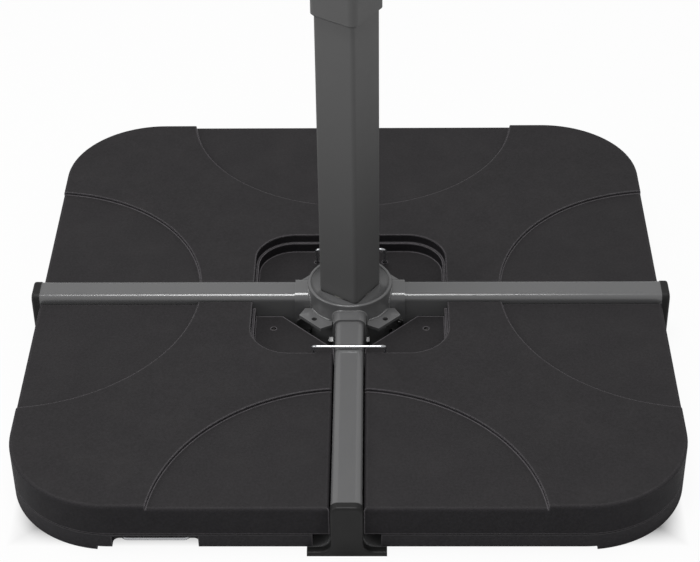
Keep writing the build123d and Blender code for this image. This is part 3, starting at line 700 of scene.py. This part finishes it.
class PARASOL_OT_mast(bpy.types.Operator):
    """Finish the mast, its collar and what holds the mast in the hub"""

    bl_idname = "parasol.mast"
    bl_label = "Mast"

    def execute(self, context):
        dress(["mast_tube", "mast_collar", "mast_foot"], FINISHES["mast"])
        dress(["retaining_bolt", "retaining_washer"], FINISHES["zinc"])
        self.fit_collar_screws(context.scene.parasol_fitting)
        return {"FINISHED"}

    def fit_collar_screws(self, sizes):
        """Two button-head screws in each rear face of the collar."""
        low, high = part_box("collar_screws")
        level = (low.z + high.z) / 2
        turn = math.radians(sizes.mast_turn)
        face = sizes.collar_side / 2
        parts = []
        for side in (math.pi / 2, math.pi):
            outward = Vector((math.cos(turn + side), math.sin(turn + side), 0))
            sideways = UP.cross(outward)
            for spread in (-sizes.screw_spread, sizes.screw_spread):
                spot = outward * face + sideways * spread + UP * level
                head = socket_head(
                    BUTTON_RADIUS, BUTTON_HEIGHT, BUTTON_DOME, SOCKET_FLATS, SOCKET_DEPTH
                )
                parts.append((head, spot, outward))
                parts.append((disc(SCREW_RADIUS, SCREW_LENGTH), spot, -outward))
        mesh = assemble("collar_screw_set", parts)
        screws = as_piece("collar_screw_set", mesh, FINISHES["zinc"], "mast")
        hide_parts("collar_screws")


class PARASOL_OT_fasteners(bpy.types.Operator):
    """Make the bolts and nuts that hold the arms under their saddles"""

    bl_idname = "parasol.fasteners"
    bl_label = "Arm fasteners"

    def execute(self, context):
        sizes = context.scene.parasol_fitting
        low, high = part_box("arm_bolts")
        nut_low, nut_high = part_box("arm_nuts")
        reach = high.x - corner_reach(sizes.bolt_flats)
        level = (low.z + high.z) / 2
        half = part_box("arm_saddle_right")[1].y
        bolts, nuts = [], []
        for side in SIDES:
            outward, sideways = heading(side)
            axis = outward * reach + UP * level
            near, far = axis + sideways * half, axis - sideways * half
            head = hexagon(sizes.bolt_flats, BOLT_HEAD, CORNER_CHAMFER)
            bolts += [
                (disc(BOLT_RADIUS, 2 * half), far, sideways),
                (disc(sizes.bolt_flats * FLANGE_SHARE, HEAD_FLANGE), near, sideways),
                (head, near + sideways * HEAD_FLANGE, sideways),
                (thread(BOLT_RADIUS, sizes.bolt_pitch, BOLT_TAIL), far, -sideways),
                (disc(BOLT_ROOT, BOLT_TAIL, TAIL_CHAMFER), far, -sideways),
            ]
            nuts.append((hexagon(sizes.bolt_flats, NUT_HEIGHT, CORNER_CHAMFER), far, -sideways))
        bolt_mesh = assemble("arm_bolt_set", bolts)
        nut_mesh = assemble("arm_nut_set", nuts)
        bolt = as_piece("arm_bolt_set", bolt_mesh, FINISHES["bolt"], "cross_frame")
        nut = as_piece("arm_nut_set", nut_mesh, FINISHES["bolt"], "cross_frame")
        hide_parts("arm_bolts")
        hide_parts("arm_nuts")
        return {"FINISHED"}


class PARASOL_OT_wire(bpy.types.Operator):
    """Finish the wire handles and link clips"""

    bl_idname = "parasol.wire"
    bl_label = "Wire pieces"

    def execute(self, context):
        dress([f"carry_handle_{quarter}" for quarter in QUARTERS], FINISHES["wire"])
        dress(["link_clip_front", "link_clip_rear"], FINISHES["wire"])
        return {"FINISHED"}


class PARASOL_OT_studio(bpy.types.Operator):
    """Lay the floor, hang the lights and stand the camera"""

    bl_idname = "parasol.studio"
    bl_label = "Studio"

    def execute(self, context):
        settings = context.scene.parasol_studio
        self.lay_floor(settings)
        self.hang_lights(context, settings)
        self.stand_camera(context, settings)
        return {"FINISHED"}

    def lay_floor(self, settings):
        """White floor that stays bright to the camera but lights the base softly."""
        shape = bmesh.new()
        bmesh.ops.create_grid(shape, x_segments=1, y_segments=1, size=FLOOR_HALF)
        bmesh.ops.translate(shape, verts=shape.verts, vec=(0, 0, -FLOOR_DROP))
        mesh = bpy.data.meshes.new("studio_floor")
        shape.to_mesh(mesh)
        shape.free()
        floor = bpy.data.objects.new("studio_floor", mesh)
        bpy.context.scene.collection.objects.link(floor)
        material = bpy.data.materials.new("studio_white")
        material.use_nodes = True
        tree = material.node_tree
        matt = tree.nodes["Principled BSDF"]
        matt.inputs["Base Color"].default_value = FLOOR_COLOUR
        matt.inputs["Roughness"].default_value = 0.9
        glow = place(
            tree, "ShaderNodeEmission", {"Color": (1, 1, 1, 1), "Strength": settings.floor_shade}
        )
        seen = place(tree, "ShaderNodeLightPath").outputs["Is Camera Ray"]
        points = place(tree, "ShaderNodeTexCoord").outputs["Object"]
        spot = place(tree, "ShaderNodeSeparateXYZ", {0: points})
        wide = maths(tree, "ABSOLUTE", spot.outputs["X"])
        deep = maths(tree, "ABSOLUTE", spot.outputs["Y"])
        beyond = maths(tree, "SUBTRACT", maths(tree, "MAXIMUM", wide, deep), settings.footprint)
        outside = maths(tree, "MULTIPLY", beyond, GLOW_EDGE, True)
        share = maths(tree, "MULTIPLY", maths(tree, "MULTIPLY", seen, outside), GLOW_SHARE)
        mixed = place(tree, "ShaderNodeMixShader", {0: share})
        tree.links.new(matt.outputs[0], mixed.inputs[1])
        tree.links.new(glow.outputs[0], mixed.inputs[2])
        tree.links.new(mixed.outputs[0], tree.nodes["Material Output"].inputs["Surface"])
        mesh.materials.append(material)

    def hang_lights(self, context, settings):
        """Softbox overhead, a wider and weaker one to the left, and an even room."""
        for name, where, size, power in (
            ("top_softbox", TOP_SOFTBOX, TOP_SOFTBOX_SIZE, settings.top_light),
            ("left_softbox", LEFT_SOFTBOX, LEFT_SOFTBOX_SIZE, settings.side_light),
        ):
            lamp = bpy.data.lights.new(name, "AREA")
            lamp.shape = "RECTANGLE"
            lamp.size = size
            lamp.size_y = size * 0.8
            lamp.energy = power
            stand = bpy.data.objects.new(name, lamp)
            stand.location = where
            aim = SOFTBOX_AIM - Vector(where)
            stand.rotation_euler = aim.to_track_quat("-Z", "Y").to_euler()
            context.scene.collection.objects.link(stand)
        world = bpy.data.worlds.new("studio_room")
        world.use_nodes = True
        back = world.node_tree.nodes["Background"]
        back.inputs["Color"].default_value = (1, 1, 1, 1)
        seen = place(world.node_tree, "ShaderNodeLightPath").outputs["Is Camera Ray"]
        shown = place(world.node_tree, "ShaderNodeMapRange", {0: seen, 3: settings.sky, 4: 1.0})
        world.node_tree.links.new(shown.outputs[0], back.inputs["Strength"])
        context.scene.world = world
        context.scene.view_settings.view_transform = "Standard"

    def stand_camera(self, context, settings):
        """Camera in front of the base and above it, with a slight turn."""
        lens = bpy.data.cameras.new("camera")
        lens.lens = settings.lens
        lens.sensor_width = 36.0
        lens.sensor_fit = "HORIZONTAL"
        lens.clip_end = 50
        camera = bpy.data.objects.new("camera", lens)
        turn = (CAMERA_TARGET - CAMERA_PLACE).to_track_quat("-Z", "Y").to_matrix().to_4x4()
        roll = Matrix.Rotation(math.radians(CAMERA_ROLL), 4, "Z")
        camera.matrix_world = Matrix.Translation(CAMERA_PLACE) @ turn @ roll
        context.scene.collection.objects.link(camera)
        context.scene.camera = camera


class PARASOL_PT_panel(bpy.types.Panel):
    """Everything that finishes the parasol base"""

    bl_label = "Parasol Base"
    bl_space_type = "VIEW_3D"
    bl_region_type = "UI"
    bl_category = "Parasol Base"

    def draw(self, context):
        for settings in ("parasol_finish", "parasol_fitting", "parasol_studio"):
            values = getattr(context.scene, settings)
            column = self.layout.column(align=True)
            for name in values.__annotations__:
                column.prop(values, name)
        for operator in OPERATORS:
            self.layout.operator(operator.bl_idname)


SETTINGS = {
    "parasol_finish": FinishSettings,
    "parasol_fitting": FittingSettings,
    "parasol_studio": StudioSettings,
}
OPERATORS = (
    PARASOL_OT_finishes,
    PARASOL_OT_casings,
    PARASOL_OT_frame,
    PARASOL_OT_mast,
    PARASOL_OT_fasteners,
    PARASOL_OT_wire,
    PARASOL_OT_studio,
)


def register():
    """Add the settings, operators and panel."""
    for name, settings in SETTINGS.items():
        bpy.utils.register_class(settings)
        setattr(bpy.types.Scene, name, bpy.props.PointerProperty(type=settings))
    for operator in OPERATORS:
        bpy.utils.register_class(operator)
    bpy.utils.register_class(PARASOL_PT_panel)


def unregister():
    """Take the settings, operators and panel out again."""
    bpy.utils.unregister_class(PARASOL_PT_panel)
    for operator in reversed(OPERATORS):
        bpy.utils.unregister_class(operator)
    for name, settings in SETTINGS.items():
        delattr(bpy.types.Scene, name)
        bpy.utils.unregister_class(settings)


def main():
    """Finish every piece in order."""
    register()
    for operator in OPERATORS:
        group_name, call = operator.bl_idname.split(".")
        getattr(getattr(bpy.ops, group_name), call)()
    bpy.context.view_layer.update()


if __name__ == "__main__":
    main()
